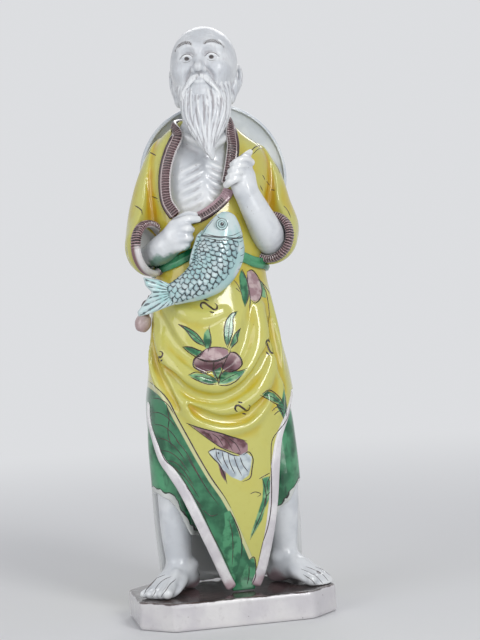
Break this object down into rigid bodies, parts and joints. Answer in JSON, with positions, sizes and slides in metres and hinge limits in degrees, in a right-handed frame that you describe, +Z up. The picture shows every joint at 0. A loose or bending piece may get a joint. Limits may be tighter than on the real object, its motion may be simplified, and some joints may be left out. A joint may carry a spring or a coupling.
{
  "type": "fisherman figurine",
  "caption": "Standing biscuit porcelain fisherman in a glazed, tucked-up robe, with a carp at the belly and a round straw hat on the back, on a chamfered plinth.",
  "frame": {"origin": "centre of the plinth's underside, on the surface that it stands on", "axes": "+X to the viewer's right (the fisherman's left), +Y to the fisherman's back, +Z up"},
  "size_m": [0.1, 0.07, 0.2995],
  "materials": {
    "biscuit": "satin",
    "yellow_glaze": "gloss",
    "green_glaze": "gloss",
    "aubergine_glaze": "gloss",
    "celadon_glaze": "gloss",
    "white_glaze": "gloss",
    "plinth": "satin"
  },
  "bodies": {
    "root": {"plinth": "plinth", "bare_chest": "biscuit", "right_hem": "white_glaze", "left_hem": "white_glaze", "robe_front": "yellow_glaze", "robe_back": "yellow_glaze", "right_leg": "biscuit", "left_leg": "biscuit", "right_trouser_leg": "green_glaze", "left_trouser_leg": "green_glaze", "waist_sash": "green_glaze", "right_lapel": "aubergine_glaze", "left_lapel": "aubergine_glaze", "lower_collar": "aubergine_glaze", "right_forearm": "biscuit", "left_forearm": "biscuit", "right_sleeve": "yellow_glaze", "left_sleeve": "yellow_glaze", "right_cuff": "aubergine_glaze", "left_cuff": "aubergine_glaze", "head": "biscuit", "right_ear": "biscuit", "left_ear": "biscuit", "right_eyebrow": "biscuit", "left_eyebrow": "biscuit", "beard": "biscuit", "right_moustache": "biscuit", "left_moustache": "biscuit", "fish_body": "celadon_glaze", "fish_tail": "celadon_glaze", "fish_dorsal_fin": "celadon_glaze", "fish_eye": "celadon_glaze", "hip_gourd": "aubergine_glaze", "straw_hat": "white_glaze"}
  },
  "joints": []
}
